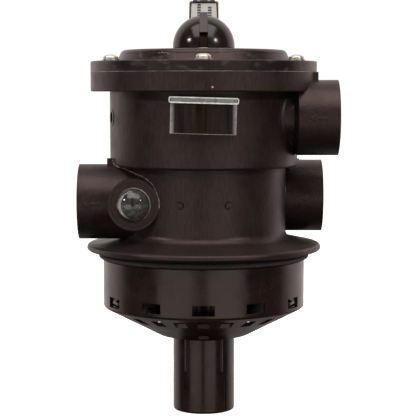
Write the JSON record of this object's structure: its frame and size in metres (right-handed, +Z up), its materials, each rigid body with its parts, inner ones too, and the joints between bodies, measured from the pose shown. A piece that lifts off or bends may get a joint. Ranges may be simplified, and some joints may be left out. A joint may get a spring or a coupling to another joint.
{
  "type": "top-mount multiport valve",
  "caption": "Top-mount filter valve with a lever handle, sliding rotor, side pipe sockets, sight glass, clear window, diffuser basket and centre tube.",
  "frame": {"origin": "on the valve's vertical axis, at the top of the cylinder that enters the tank's neck", "axes": "+Z up along the axis, -Y towards the window and the sight glass, +X towards the pump and return ports"},
  "size_m": [0.2029, 0.187, 0.3322],
  "materials": {
    "body_plastic": "moulded black plastic, fine grain",
    "gloss_plastic": "moulded black plastic, smooth",
    "rubber": "matt black rubber",
    "stainless": "stainless steel",
    "brass": "turned brass",
    "clear_plastic": "clear moulded plastic",
    "acetal": "white acetal",
    "label": "printed light grey label"
  },
  "bodies": {
    "housing": {"valve_body": "body_plastic", "seat_gasket": "rubber", "lid": "body_plastic", "lid_o_ring": "rubber", "lid_screws": "stainless", "screw_washers": "stainless", "lid_inserts": "brass", "position_label": "body_plastic", "stem_bush": "acetal", "window_gasket": "rubber", "window_cover": "clear_plastic", "sight_glass": "clear_plastic", "sight_glass_o_ring": "rubber", "sight_glass_ring": "body_plastic", "tank_o_ring": "rubber", "diffuser": "gloss_plastic", "centre_tube": "gloss_plastic", "tube_o_ring": "rubber"},
    "glide": {"glide_washer": "acetal", "spring_washer": "stainless"},
    "rotor": {"stem": "stainless", "stem_o_rings": "rubber", "rotor": "body_plastic", "rotor_pin": "stainless", "rotor_washer": "stainless", "compression_spring": "stainless", "handle_pin": "stainless"},
    "handle": {"handle": "gloss_plastic", "label_plate": "label"}
  },
  "joints": [
    {"name": "index_turn", "type": "hinge", "parent": "housing", "child": "glide", "pos_m": [0, 0, 0.1664], "axis": [0, 0, 1], "continuous": true},
    {"name": "rotor_lift", "type": "slide", "parent": "glide", "child": "rotor", "axis": [0, 0, 1], "range_m": [0, 0.00724], "stiffness_N_per_m": 400, "springref_m": -0.005, "deforming": ["compression_spring"]},
    {"name": "lever_press", "type": "hinge", "parent": "rotor", "child": "handle", "pos_m": [0, 0, 0.176], "axis": [-1, 0, 0], "range_deg": [0, 28]}
  ],
  "couplings": [
    {"joint": "lever_press", "follows": "rotor_lift", "rad_per_m": 67.49}
  ]
}
